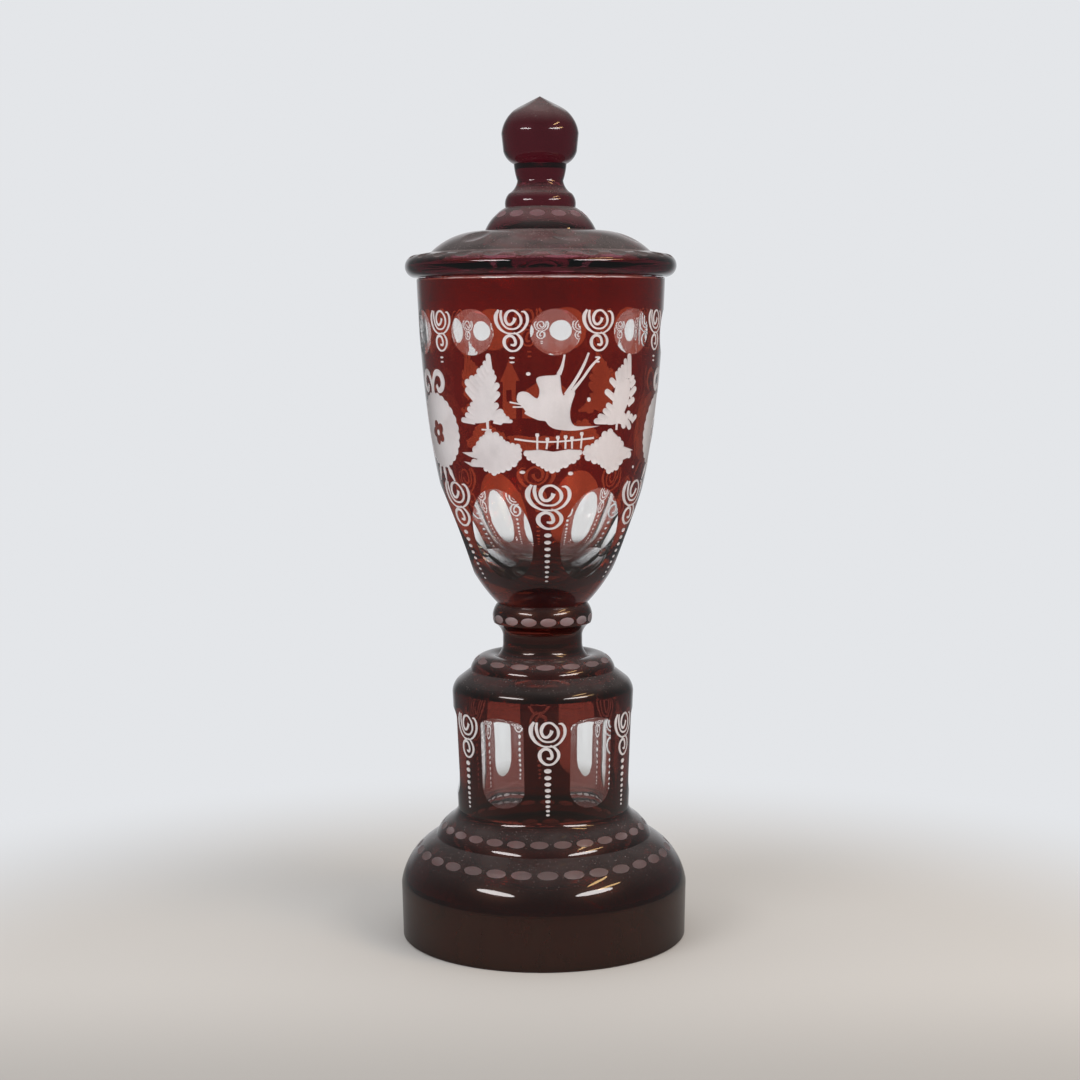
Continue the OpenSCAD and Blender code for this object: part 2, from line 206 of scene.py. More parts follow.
def profile(start, *stretches):
    """Outline from a start through stretches: the end of each, its bulge (0 for a line) and its steps."""
    points = [Vector(start)]
    for end, bulge, steps in stretches:
        points += (arc(start, end, bulge, steps) if bulge else straight(start, end, steps))[1:]
        start = end
    return points


# Bulge of a quarter round, as a share of its radius
QUARTER = 1 - math.sqrt(0.5)

# Sizes that more than one outline or finish takes up
RING_TOP = 23.6
SWELL_CREASE = (46.9, 44.2)
HOLLOW_R = 32
WALL_TOP = DRUM_Z + 51
BOWL_R = 52.9
MOUTH_R = 48.7
RIM_ROUND = 0.8
FLANGE_BULGE = 4.25
CROWN_CREASE = (23.8, FINIAL_Z - 10)

# Outside forms: two ends and the bulge of an arc, two ends of a line, or a curve
LOWER_SWELL = ((FOOT_R, RING_TOP), SWELL_CREASE, 3.1)
UPPER_SWELL = (SWELL_CREASE, (40.4, DRUM_Z - 4.1), 0.8)
DRUM_WALL = ((37.2, DRUM_Z), (39.3, WALL_TOP))
MOUND = ((31.4, STEM_Z - 5.8), (19.8, STEM_Z), 3.3)
COLLAR = ((21.1, BOWL_Z - 8.5), (19.4, BOWL_Z), 1.15)
BOWL_OUTSIDE = curve((19.4, BOWL_Z), (40.6, BOWL_Z + 21.4), (50.2, RIM_Z - 75.8),
                     (BOWL_R, RIM_Z - RIM_ROUND))
FLANGE_CORNER = Vector((FLANGE_R - FLANGE_BULGE, LID_Z + 9.6))
DOME = ((46.8, LID_Z + 10.8), CROWN_CREASE, 2.6)
CROWN = (CROWN_CREASE, (14.9, FINIAL_Z), 1.2)


# Turning and cutting

def spun(chains, segments):
    """Outline stretches with their finishes, spun an eighth round the axis and doubled to the full turn."""
    bm = bmesh.new()
    for finish, points in chains:
        rim = [bm.verts.new((r, 0, z)) for r, z in points]
        edges = [bm.edges.new(pair) for pair in zip(rim, rim[1:])]
        earlier = set(bm.faces)
        bmesh.ops.spin(bm, geom=rim + edges, cent=(0, 0, 0), axis=(0, 0, 1),
                       angle=math.tau / 8, steps=segments // 8)
        for face in set(bm.faces) - earlier:
            face.material_index = finish
    for share in (8, 4, 2):
        copy = bmesh.ops.duplicate(bm, geom=[*bm.verts, *bm.edges, *bm.faces])["geom"]
        bmesh.ops.rotate(bm, cent=(0, 0, 0), matrix=Matrix.Rotation(math.tau / share, 3, "Z"),
                         verts=[part for part in copy if isinstance(part, bmesh.types.BMVert)])
    bmesh.ops.remove_doubles(bm, verts=bm.verts, dist=0.0005)
    bmesh.ops.recalc_face_normals(bm, faces=bm.faces)
    return bm


def turned(chains):
    """Closed glass form of a piece."""
    return spun(chains, bpy.context.scene.pokal_cutting.segments)


def to_mesh(name, bm):
    """Mesh that takes over a form."""
    mesh = bpy.data.meshes.new(name)
    bm.to_mesh(mesh)
    bm.free()
    return mesh


def placed(name, data):
    """New object in the scene."""
    made = bpy.data.objects.new(name, data)
    bpy.context.scene.collection.objects.link(made)
    return made


def outcome(piece):
    """New mesh of a piece as its modifiers make it."""
    return bpy.data.meshes.new_from_object(piece.evaluated_get(bpy.context.evaluated_depsgraph_get()))


def glass_object(name, bm):
    """New object that holds a form in millimetres, with every finish in its slots."""
    mesh = to_mesh(name, bm)
    for finish in FINISHES:
        mesh.materials.append(finish())
    return placed(name, mesh)


def carve(piece, stones, finish):
    """Takes closed forms that clear each other out of a piece, and gives the cut that finish."""
    bmesh.ops.recalc_face_normals(stones, faces=stones.faces)
    for face in stones.faces:
        face.material_index = finish
    cutter = glass_object("stones", stones)
    cut = piece.modifiers.new("Cut", "BOOLEAN")
    cut.object, cut.operation, cut.solver, cut.material_mode = cutter, "DIFFERENCE", "MANIFOLD", "INDEX"
    mesh = outcome(piece)
    piece.modifiers.clear()
    if not any(face.material_index == finish for face in mesh.polygons):
        raise RuntimeError(f"the cut for finish {finish} missed {piece.name}")
    whole, piece.data = piece.data, mesh
    stone_mesh = cutter.data
    bpy.data.objects.remove(cutter)
    bpy.data.meshes.remove(stone_mesh)
    bpy.data.meshes.remove(whole)
    mesh.name = piece.name


def upright(angle):
    """Turn about the axis that puts +X at an angle from the front, seen growing to the right."""
    return Matrix.Rotation(math.radians(angle - 90), 4, "Z")


def ring_places(point, tilt, count, first):
    """Places round the axis for the stones of a ring, at a point of the outline and tilted by an angle."""
    out = Matrix.Translation((point[0], 0, point[1]))
    lean = Matrix.Rotation(tilt, 4, "Y")
    return [upright(first + k * 360 / count) @ out @ lean for k in range(count)]


def half_pitch(radius, count):
    """Half the width of each stone in a ring, so that neighbours clear each other."""
    return 0.96 * radius * math.sin(math.pi / count)


def ball_stone(ball_r, depth, stone_r):
    """Rounded stone whose bottom lies a depth under the origin."""
    def sag(r):
        return ball_r - math.sqrt(ball_r ** 2 - r ** 2)

    edge = Vector((stone_r, sag(stone_r)))
    rise = sag(edge.length / 2)
    side = [*arc((0, 0), edge, rise, 8), Vector((stone_r, stone_r)), Vector((0, stone_r))]
    return to_mesh("stone", spun([(0, [point - Vector((0, depth)) for point in side])], segments=48))


def stone_ring(stone, point, normal, count, first):
    """Copies of a stone round the axis, at a point of the outline with that normal."""
    bm = bmesh.new()
    for place in ring_places(point, math.atan2(normal.x, normal.y), count, first):
        copy = stone.copy()
        copy.transform(place)
        bm.from_mesh(copy)
        bpy.data.meshes.remove(copy)
    bpy.data.meshes.remove(stone)
    return bm


def round_printies(swell, share, count, first, ball_r, depth):
    """Stones for a ring of round printies on one arc of the outside."""
    point, normal = arc_place(*swell, share)
    stone = ball_stone(ball_r, depth, half_pitch(point.x, count))
    return stone_ring(stone, point, normal, count, first)


def slab_stone(bm, side, width, place):
    """Stone with that side view, outward and up, and that width, laid at a place."""
    face = bm.faces.new([bm.verts.new((x, -width / 2, z)) for x, z in side])
    grown = bmesh.ops.extrude_face_region(bm, geom=[face])["geom"]
    far = [v for v in grown if isinstance(v, bmesh.types.BMVert)]
    bmesh.ops.translate(bm, vec=(0, width, 0), verts=far)
    bmesh.ops.transform(bm, matrix=place, verts=[*face.verts, *far])


def wheel_stones(point, normal, wheel_r, depth, count, first):
    """Stones for a ring of cuts by a wheel with a level axle, at a point of the outline with that normal."""
    half = math.sqrt(2 * wheel_r * depth)
    bite = wheel_r - math.sqrt(wheel_r ** 2 - half ** 2)
    width = 2 * half_pitch(point.x, count)
    side = [Vector((x - depth, y)) for x, y in arc((bite, -half), (bite, half), -bite, 40)]
    side += [Vector((width / 2, half)), Vector((width / 2, -half))]
    bm = bmesh.new()
    for place in ring_places(point, -math.atan2(normal.y, normal.x), count, first):
        slab_stone(bm, side, width, place)
    return bm


def oval_printies(swell, share, count, first, wheel_r, depth):
    """Stones for a ring of oval printies on one arc of the outside."""
    return wheel_stones(*arc_place(*swell, share), wheel_r, depth, count, first)


def bowl_windows(z, count, first, wheel_r, depth):
    """Stones for a ring of windows in the bowl at a height."""
    i = next(k for k, point in enumerate(BOWL_OUTSIDE) if point.y > z)
    near, far = BOWL_OUTSIDE[i - 1], BOWL_OUTSIDE[i]
    along = far - near
    point = near + along * (z - near.y) / along.y
    return wheel_stones(point, right_of(along), wheel_r, depth, count, first)


# Engraving, drawn flat in millimetres with x to the right and y up, then laid round the glass

# Strokes of the scroll, as points of x, y and width
CUP = (
    (-6.9, 11.1, 1.2), (-8.5, 8.1, 2.3), (-7.6, 4, 1.8), (-3.3, 0.5, 0.85), (0, 0, 0.7), (3.5, 0.3, 0.75),
    (7.6, 3.3, 1.3), (8.8, 7.3, 1.7), (7.3, 10, 1.1), (5.5, 10.2, 0.4))
SPIRAL = (
    (-5.5, 10.9, 1.2), (-5.7, 7.8, 1.55), (-3.7, 3.5, 1), (0.4, 2.1, 0.8), (4.2, 3.4, 1), (5.4, 6.3, 1.6),
    (3.4, 9.6, 1.1), (0.2, 10.7, 0.9), (-2.8, 8.7, 1.8), (-2.7, 5.3, 1.5), (-0.85, 4.2, 1.2),
    (1.4, 5.6, 1.5), (2.1, 7.3, 1.9))
LOOP = (
    (-0.55, -5.3, 0.8), (1.8, -5.2, 1.5), (2, -3.4, 1.6), (0.1, -1.2, 1.3), (-2.8, -1.6, 1.5),
    (-4.1, -4, 2), (-2.3, -7.2, 1.3), (0.85, -8.2, 0.85), (4.2, -6.7, 1.2), (5.55, -3.7, 1.7), (4, -1, 1.2),
    (1.3, 0.5, 0.6))

# Outlines of the bird, the trees and the bushes
BIRD = (
    (-10.2, 32.2), (-9.5, 34.7), (-7.4, 35.4), (-5.2, 34.8), (-3.5, 33.4), (-1.7, 32.5), (-0.9, 34.4),
    (-0.9, 36.5), (-1.8, 38.6), (-2.1, 40.4), (-0.7, 41.4), (2.4, 41.8), (5.9, 42), (7.4, 43), (7.9, 38.7),
    (8.2, 35.9), (9, 33.6), (10.2, 34.8), (12, 35.9), (13.8, 35.1), (13.4, 33), (12.4, 30.2), (11.7, 26.7),
    (12.1, 23.2), (13.6, 21.2), (16.9, 20.8), (25.1, 20.8), (20.7, 20.1), (16.2, 19.3), (11.8, 19.1),
    (7.5, 19.5), (4.6, 20.2), (2.5, 21.8), (1.5, 23.2), (-1, 23.5), (-3.8, 24.6), (-7, 26.3), (-6.5, 27.2),
    (-8, 29.1), (-9.5, 30.7))
LEFT_TREE = (
    (-21.8, 43.4), (-20.2, 38.3), (-19.9, 32), (-19, 26.2), (-18.7, 23.3), (-21.5, 23.5), (-23.1, 22.6),
    (-28.2, 22), (-30, 22.7), (-29.5, 27.4), (-30, 31.1), (-28.8, 34.6), (-25.7, 39.3))
RIGHT_TREE = (
    (38.2, 40), (40.8, 39.2), (41.1, 34.2), (39.7, 29.3), (37.8, 26.1), (40, 24.2), (40.2, 20.9),
    (36, 21.1), (34, 21.5), (31.2, 21), (27.7, 21.5), (27.6, 23.5), (29.7, 25.9), (31, 28), (31.3, 31.6),
    (32.6, 36.5), (33.9, 39))

# Leaves of the trees, as the inner end, the outer end and the width of one touch of the wheel
LEFT_LEAVES = (
    (-21.4, 42.5, -22.3, 49.7, 1.5), (-22.2, 42.5, -23.7, 46.8, 1.5), (-23, 41.4, -24.8, 44.8, 1.7),
    (-24.3, 39.9, -26.5, 43.5, 1.8), (-25.7, 38.2, -27.8, 41.1, 1.8), (-27, 36.7, -30.1, 40.4, 2),
    (-28.1, 35, -32.5, 38.9, 2), (-28.8, 32.3, -32.5, 35.7, 1.8), (-28.8, 28, -30.3, 29.8, 1.5),
    (-28.9, 26, -31.7, 27.8, 1.7), (-29.2, 24.2, -33.1, 25.4, 1.5), (-28.9, 22.7, -35.3, 23.3, 1.5),
    (-21.4, 41.1, -20.7, 43.1, 1.7), (-21.4, 38.5, -19.9, 41, 1.8), (-21.1, 35.1, -18.6, 37.7, 1.8),
    (-21.2, 31.4, -18.4, 34.1, 1.8), (-21.2, 27.6, -19, 29.5, 1.8), (-19.9, 25.3, -17.1, 26.8, 2),
    (-19.9, 24.6, -15.8, 25.5, 1.4), (-19.9, 23.9, -14.2, 24.2, 1.4), (-19.9, 23.2, -12.6, 23.1, 1),
    (-20.2, 23.3, -17.1, 22.6, 1.4))
RIGHT_LEAVES = (
    (40.4, 40, 40.2, 49.2, 1.6), (38.7, 40, 37.9, 47.4, 1.3), (37.2, 39.3, 36.3, 44.8, 1.4),
    (35.7, 39.3, 34.7, 43.6, 1.4), (34.3, 38.6, 33.3, 42.2, 1.4), (33, 37.2, 30.6, 39.4, 1.7),
    (32.7, 31.6, 28.4, 34.7, 1.8), (31.5, 27.3, 29, 29.1, 1.7), (30.2, 25.2, 27.5, 26.9, 1.7),
    (28.9, 23.4, 25.1, 24.7, 1.7), (28.1, 22.7, 23.3, 22.8, 1.7), (40.8, 38.9, 42.7, 40.5, 1.3),
    (40.9, 36.7, 43.4, 38.5, 1.6), (40.6, 32.8, 44, 35.6, 1.7), (39.7, 29.3, 42.9, 31.1, 1.7),
    (39.5, 23.9, 40.4, 25.6, 1.5), (41.2, 22.7, 42.2, 24.3, 1.5), (42.4, 22, 45.1, 24, 1.3),
    (36.9, 22.9, 37.5, 20.5, 1.8), (39.6, 22.1, 41.1, 19.8, 1.7))
LEFT_BUSH = (
    (-24.6, 18.1), (-20.6, 18.6), (-17.5, 17.2), (-15.6, 16.2), (-14.9, 14.4), (-12.3, 13.4), (-10.1, 13.4),
    (-8, 12.4), (-8.7, 10.2), (-7.6, 8.8), (-9.8, 7.3), (-9.4, 5.5), (-12, 4.7), (-14.5, 2.5), (-17.2, 1.9),
    (-18.7, 0.5), (-21.5, 0.8), (-23.1, 1.8), (-25.6, 2.8), (-31.9, 3.2), (-36.9, 5.6), (-32.4, 5.1),
    (-29.1, 4.9), (-28.6, 6.7), (-32.3, 7.6), (-37.7, 9.6), (-31.2, 10), (-28.5, 12.2), (-29.4, 13.6),
    (-27.2, 14.4), (-27.6, 15.8), (-25.4, 16.6))
MIDDLE_BUSH = (
    (-7.3, 11.3), (-1.6, 11.9), (4.7, 11.4), (11.8, 11.9), (17, 11.3), (16.3, 9.1), (15.2, 7), (12.6, 6.3),
    (11.9, 4.9), (9, 4.5), (7.9, 2.7), (5.5, 1.6), (2.6, 2), (0.5, 3.5), (-1.3, 4.5), (-3, 6.3),
    (-5.1, 7.4), (-6.9, 8.8))
RIGHT_BUSH = (
    (31.7, 19.2), (35.1, 16.6), (35.8, 14), (38.5, 12.1), (45.3, 9.9), (41, 9), (43.7, 7.1), (38.4, 5.5),
    (34.8, 4.9), (35.9, 3), (32.4, 2.1), (31.1, 0.3), (28.3, 1.5), (27.7, 3.4), (24.7, 4.2), (23.4, 5.7),
    (20.2, 6.9), (17.4, 8.8), (17, 10.9), (20.1, 12), (21.6, 13.7), (24.5, 14.7), (25.6, 16.9),
    (28.6, 18.6))


def engraving_depth():
    """Depth of the engraving in millimetres."""
    return bpy.context.scene.pokal_cutting.engraving_depth / MM


def stroke(points):
    """Round-floored stroke through points of x, y and width."""
    line = bpy.data.curves.new("stroke", "CURVE")
    line.dimensions = "3D"
    line.bevel_depth, line.bevel_resolution, line.use_fill_caps, line.resolution_u = 0.5, 1, True, 6
    spline = line.splines.new("BEZIER")
    spline.bezier_points.add(len(points) - 1)
    for knot, (x, y, width) in zip(spline.bezier_points, points):
        knot.handle_left_type = knot.handle_right_type = "AUTO"
        knot.co, knot.radius = (x, y, 0), width
    holder = bpy.data.objects.new("stroke", line)
    tube = bpy.data.meshes.new_from_object(holder)
    bm = bmesh.new()
    bm.from_mesh(tube)
    bpy.data.objects.remove(holder)
    bpy.data.curves.remove(line)
    bpy.data.meshes.remove(tube)
    bmesh.ops.remove_doubles(bm, verts=bm.verts, dist=0.005)
    bmesh.ops.scale(bm, vec=(1, 1, engraving_depth()), verts=bm.verts)
    return to_mesh("stroke", bm)


def dab(x, y, wide, tall):
    """Oval dab of the wheel."""
    bm = bmesh.new()
    bmesh.ops.create_uvsphere(bm, u_segments=16, v_segments=8, radius=0.5)
    bmesh.ops.scale(bm, vec=(wide, tall, wide * engraving_depth()), verts=bm.verts)
    bmesh.ops.translate(bm, vec=(x, y, 0), verts=bm.verts)
    return to_mesh("dab", bm)


def smooth(points):
    """Closed outline that runs softly through points."""
    rounded = []
    for i in range(len(points)):
        a, b, c, d = (Vector(points[(i + k) % len(points)]) for k in (-1, 0, 1, 2))
        rounded += curve(b, b + (c - a) / 6, c - (d - b) / 6, c, 2)[:-1]
    return rounded


def flower(radius, petals, swell, steps=96):
    """Round outline with petals."""
    turns = [math.tau * i / steps for i in range(steps)]
    return [Vector((math.cos(a), math.sin(a))) * radius * (1 + swell * abs(math.sin(petals * a / 2)))
            for a in turns]


def block(x, y, wide, tall):
    """Upright rectangle from its lower left corner."""
    return [Vector(p) for p in ((x, y), (x + wide, y), (x + wide, y + tall), (x, y + tall))]


def leaf(x, y, tip_x, tip_y, width):
    """One touch of the wheel, from inside a tree to a rounded tip."""
    root, tip = Vector((x, y)), Vector((tip_x, tip_y))
    width = 1.5 * width
    end = (tip - root).normalized() * width
    return stroke([(*root, 1.1 * width), (*tip, width), (*tip + 0.3 * end, 0.8 * width),
                   (*tip + 0.48 * end, 0.3 * width)])


def fused(forms):
    """One closed form out of several that overlap."""
    bodies = [placed("touch", form) for form in forms]
    for other in bodies[1:]:
        union = bodies[0].modifiers.new("Fuse", "BOOLEAN")
        union.object, union.operation, union.solver = other, "UNION", "MANIFOLD"
    mesh = outcome(bodies[0])
    for body in bodies:
        bpy.data.objects.remove(body)
    for form in forms:
        bpy.data.meshes.remove(form)
    return mesh


def tree(outline, leaves):
    """Crown of one tree: its middle and the leaves round it."""
    return fused([patch(smooth(outline)), *(leaf(*touch) for touch in leaves)])


def bush(outline):
    """Bush: its middle and the round touches of the wheel along its edge."""
    inset, longest, overlap = 0.9, 3.7, 1.08
    corners = [Vector(point) for point in outline]
    centre = sum(corners, Vector((0, 0))) / len(corners)
    corners = [point + inset * (centre - point).normalized() for point in corners]
    touches = []
    for p, q in zip(corners, corners[1:] + corners[:1]):
        reach = (q - p).length
        if reach < longest:
            touches.append(dab(*(p + q) / 2, overlap * reach, overlap * reach))
    return fused([patch(corners), *touches])


def patch(*outlines):
    """Flat-floored patch inside the first outline and outside the others, sliced to bend round the glass."""
    bm = bmesh.new()
    for outline in outlines:
        rim = [bm.verts.new((*point, 0)) for point in outline]
        for pair in zip(rim, rim[1:] + rim[:1]):
            bm.edges.new(pair)
    bmesh.ops.triangle_fill(bm, use_beauty=True, edges=bm.edges[:])
    for axis, step in ((Vector((1, 0, 0)), 1.5), (Vector((0, 1, 0)), 3)):
        places = [axis.dot(v.co) for v in bm.verts]
        for i in range(1, int((max(places) - min(places)) / step) + 1):
            bmesh.ops.bisect_plane(bm, geom=[*bm.verts, *bm.edges, *bm.faces],
                                   plane_co=axis * (min(places) + i * step), plane_no=axis)
    bmesh.ops.recalc_face_normals(bm, faces=bm.faces)
    proud = 0.3
    bmesh.ops.solidify(bm, geom=bm.faces[:], thickness=engraving_depth() + proud)
    floor = min(v.co.z for v in bm.verts)
    bmesh.ops.translate(bm, vec=(0, 0, -engraving_depth() - floor), verts=bm.verts)
    return to_mesh("patch", bm)


def together(forms, shift=(0, 0)):
    """One flat form out of several, shifted."""
    bm = bmesh.new()
    for form in forms:
        bm.from_mesh(form)
    bmesh.ops.translate(bm, vec=(*shift, 0), verts=bm.verts)
    return to_mesh("drawing", bm)


def dab_row(top, pitch, closing, wide, narrowing, tall):
    """Nine dabs one under the other, smaller and closer as they go down."""
    return together([dab(0, top - pitch * k + closing * k * k, wide - narrowing * k, tall - 0.12 * k)
                     for k in range(9)])


def scrolls(*rings):
    """Layers of scrolls; each ring has its turns, its rise, its stretch and what lies under a scroll."""
    layers = [[(form, turn, rise, stretch) for turns, rise, stretch, _ in rings for turn in turns]
              for form in map(stroke, (CUP, SPIRAL, LOOP))]
    layers[0] += [(below, turn, rise, (1, 1)) for turns, rise, _, below in rings for turn in turns]
    return layers


def laid(layers, rise, *turns):
    """Drawings of each layer at a rise and at each of the turns."""
    return [[(form, turn, rise, (1, 1)) for form in layer for turn in turns] for layer in layers]


class Wall:
    """Outside of a piece that drawings are laid on, measured along the glass from its lower end."""

    def __init__(self, points):
        self.points = [Vector(point) for point in points]
        self.reach = [0.0]
        for p, q in zip(self.points, self.points[1:]):
            self.reach.append(self.reach[-1] + (q - p).length)

    def lay(self, form, turn, rise, stretch):
        """Bends a flat form round the wall, with its origin at a turn from the front and a rise."""
        for vert in form.vertices:
            along = rise + vert.co.y * stretch[1]
            i = min(max(bisect_left(self.reach, along), 1), len(self.reach) - 1)
            p, q = self.points[i - 1], self.points[i]
            place = p.lerp(q, (along - self.reach[i - 1]) / (self.reach[i] - self.reach[i - 1]))
            angle = math.radians(turn) + vert.co.x * stretch[0] / place.x
            place = place + right_of(q - p) * vert.co.z
            vert.co = (place.x * math.sin(angle), -place.x * math.cos(angle), place.y)

    def engrave(self, piece, layers):
        """Cuts layers of drawings one after the other; the forms in one layer clear each other."""
        for layer in layers:
            bm = bmesh.new()
            for form, turn, rise, stretch in layer:
                copy = form.copy()
                self.lay(copy, turn, rise, stretch)
                bm.from_mesh(copy)
                bpy.data.meshes.remove(copy)
            carve(piece, bm, FROST)


def finished(piece, node, body):
    """Scales a carved piece to metres, keeps its cut edges crisp and puts it in the frame."""
    crisp = math.radians(28)
    bm = bmesh.new()
    bm.from_mesh(piece.data)
    bmesh.ops.scale(bm, vec=(MM, MM, MM), verts=bm.verts)
    for face in bm.faces:
        face.smooth = True
    for edge in bm.edges:
        sides = {face.material_index for face in edge.link_faces}
        edge.smooth = len(sides) == 1 and edge.calc_face_angle(0) < crisp
    bm.to_mesh(piece.data)
    bm.free()
    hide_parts(node)
    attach(piece, body)


# Finishes

class Sock:
    """A shader socket that takes part in plain arithmetic."""

    def __init__(self, shader, socket):
        self.shader, self.socket = shader, socket

    def maths(self, operation, a, b):
        """Outcome of one operation on two numbers or sockets."""
        return self.shader.node("ShaderNodeMath", {"operation": operation}, {0: a, 1: b})

    def __add__(self, other):
        return self.maths("ADD", self, other)

    def __radd__(self, other):
        return self.maths("ADD", other, self)

    def __sub__(self, other):
        return self.maths("SUBTRACT", self, other)

    def __rsub__(self, other):
        return self.maths("SUBTRACT", other, self)

    def __mul__(self, other):
        return self.maths("MULTIPLY", self, other)

    def __rmul__(self, other):
        return self.maths("MULTIPLY", other, self)

    def ramp(self, low, high):
        """0 below low, 1 above high, smooth between."""
        return self.shader.node(
            "ShaderNodeMapRange", {"interpolation_type": "SMOOTHSTEP"},
            {"Value": self, "From Min": low, "From Max": high})


class Shader:
    """Node tree of a finish or of the world."""

    def __init__(self, holder, output="ShaderNodeOutputMaterial"):
        holder.use_nodes = True
        self.holder, self.tree = holder, holder.node_tree
        self.tree.nodes.clear()
        self.out = self.tree.nodes.new(output)

    def node(self, kind, settings=None, sockets=None, output=0):
        """New node with its settings, then its socket values or links."""
        made = self.tree.nodes.new(kind)
        for name, value in (settings or {}).items():
            setattr(made, name, value)
        for name, value in (sockets or {}).items():
            if isinstance(value, Sock):
                self.tree.links.new(value.socket, made.inputs[name])
            else:
                made.inputs[name].default_value = value
        return Sock(self, made.outputs[output])

    def place(self, stretch=(1, 1, 1)):
        """Object coordinates, stretched."""
        where = self.node("ShaderNodeTexCoord", output="Object")
        return self.node("ShaderNodeMapping", None, {"Vector": where, "Scale": stretch})

    def axis(self, vector, name):
        """One number of a vector."""
        return self.node("ShaderNodeSeparateXYZ", None, {0: vector}, name)

    def belt(self, low, high, fade):
        """1 between two heights in millimetres, fading out over a length above the higher one."""
        z = self.axis(self.place(), "Z")
        return z.ramp((low - 2) * MM, low * MM) - z.ramp(high * MM, (high + fade) * MM)

    def noise(self, scale, detail, rough, stretch=(1, 1, 1)):
        """Noise from 0 to 1 on the piece, at so many features a metre."""
        return self.node("ShaderNodeTexNoise", None, {
            "Vector": self.place(stretch), "Scale": scale, "Detail": detail, "Roughness": rough})

    def slant(self):
        """0 where a face is seen straight on, 1 where it is seen edge on."""
        return self.node("ShaderNodeLayerWeight", None, {"Blend": 0.5}, "Facing")

    def blend(self, share, a, b):
        """Colour between a and b."""
        return self.node("ShaderNodeMix", {"data_type": "RGBA"}, {0: share, 6: a, 7: b}, 2)

    def bump(self, heights, distance):
        """Normal that makes heights from 0 to 1 show as relief."""
        return self.node("ShaderNodeBump", None, {"Height": heights, "Distance": distance, "Strength": 1})

    def glass(self, colour, rough, through=1.0, normal=None):
        """Glass that lets a share of the light through."""
        sockets = {"Base Color": colour, "Roughness": rough, "IOR": 1.52, "Transmission Weight": through}
        if normal:
            sockets["Normal"] = normal
        return self.node("ShaderNodeBsdfPrincipled", None, sockets)

    def mix(self, share, a, b):
        """Surface between a and b."""
        return self.node("ShaderNodeMixShader", None, {0: share, 1: a, 2: b})

    def two_sided(self, outside, inside):
        """Surface that looks different from outside and from within the glass."""
        return self.mix(self.node("ShaderNodeNewGeometry", output="Backfacing"), outside, inside)

    def finish(self, surface):
        """Finish or world with that surface."""
        self.tree.links.new(surface.socket, self.out.inputs["Surface"])
        return self.holder


def new_finish(name):
    """Empty node tree of a new material."""
    return Shader(bpy.data.materials.new(name))


def rgba(colour, share=1):
    """A share of a colour, as a socket takes it."""
    return (*(share * c for c in colour), 1)


def stained_glass(name, stain, thin_stain, dusty, darkened, lustre, bronzed):
    """Clear glass under a fired stain, brushed on by hand, with dust where it looks up.

    The colour is darker in some belts and the stain shows its lustre in others, each a share, two heights
    and a fade.
    """
    glass = bpy.context.scene.pokal_glass
    s = new_finish(name)
    streaks = s.noise(90, 4, 0.6, (1, 1, 0.35))
    mottle = s.noise(38, 2, 0.5)
    thin = (streaks * 0.55 + mottle * 0.45).ramp(0.38, 0.72)
    colour = s.blend(thin, rgba(stain), rgba(thin_stain))
    # Darker in each of these belts, down to a small share of the stain
    for share, *belt in darkened:
        colour = s.blend(share * s.belt(*belt), colour, rgba(stain, 0.07))
    colour = s.blend(s.slant().ramp(0.3, 0.95), colour, rgba(stain, 0.12))
    scuffs = s.noise(900, 3, 0.6).ramp(0.55, 0.8)
    body = s.glass(colour, 0.02 + scuffs * 0.06)
    sheen = s.node("ShaderNodeBsdfPrincipled", None, {
        "Base Color": s.blend(thin, rgba(lustre), rgba(lustre, 0.8)), "Metallic": 1.0, "Roughness": 0.33})
    skin = s.mix(sum(share * s.belt(*belt) for share, *belt in bronzed), body, sheen)
    up = s.axis(s.node("ShaderNodeTexCoord", output="Normal"), "Z").ramp(0.3, 1)
    cloud = s.noise(60, 4, 0.6).ramp(0.3, 0.75)
    speck = s.noise(1300, 2, 0.5).ramp(0.68, 0.73)
    film = up * (cloud * 0.45 + 0.55) * (dusty * glass.dust_cover) + up * speck * 0.5
    grey = s.node("ShaderNodeBsdfDiffuse", None, {"Color": rgba(glass.dust)})
    return s.finish(s.mix(film, skin, grey))


@cache
def ruby_glass():
    """Fired ruby stain of the bowl, darker towards its foot."""
    glass = bpy.context.scene.pokal_glass
    darkened = [(1, BOWL_Z, BOWL_Z + 7, 30)]
    bronzed = [(0.2, BOWL_Z, BOWL_Z + 3, 5), (0.12, BOWL_Z, BOWL_Z + 8, 20)]
    return stained_glass("ruby_stain", glass.ruby, glass.ruby_thin, 1, darkened, glass.plum, bronzed)


@cache
def maroon_glass():
    """Stain of the cover, with a trace of lustre on the finial."""
    glass = bpy.context.scene.pokal_glass
    bronzed = [(0.02, FINIAL_Z, TIP_Z, 1)]
    return stained_glass("maroon_stain", glass.maroon, glass.maroon_thin, 3, [], glass.plum, bronzed)


@cache
def brown_glass():
    """The darkest stain, on foot, drum and stem."""
    glass = bpy.context.scene.pokal_glass
    neck_z = STEM_Z + 4
    # Darker over the foot, in a belt just above the drum wall, and over the neck
    darkened = [(0.4, 0, DRUM_Z - 2, 4), (1, WALL_TOP + 2.5, WALL_TOP + 5.9, 3), (0.5, neck_z, BOWL_Z, 2)]
    bronzed = [(0.17, 0, RING_TOP - 1, 2), (0.045, RING_TOP + 1, BOWL_Z, 4), (0.08, neck_z, BOWL_Z, 2)]
    return stained_glass("brown_stain", glass.brown, glass.brown_thin, 1.2, darkened, glass.bronze, bronzed)


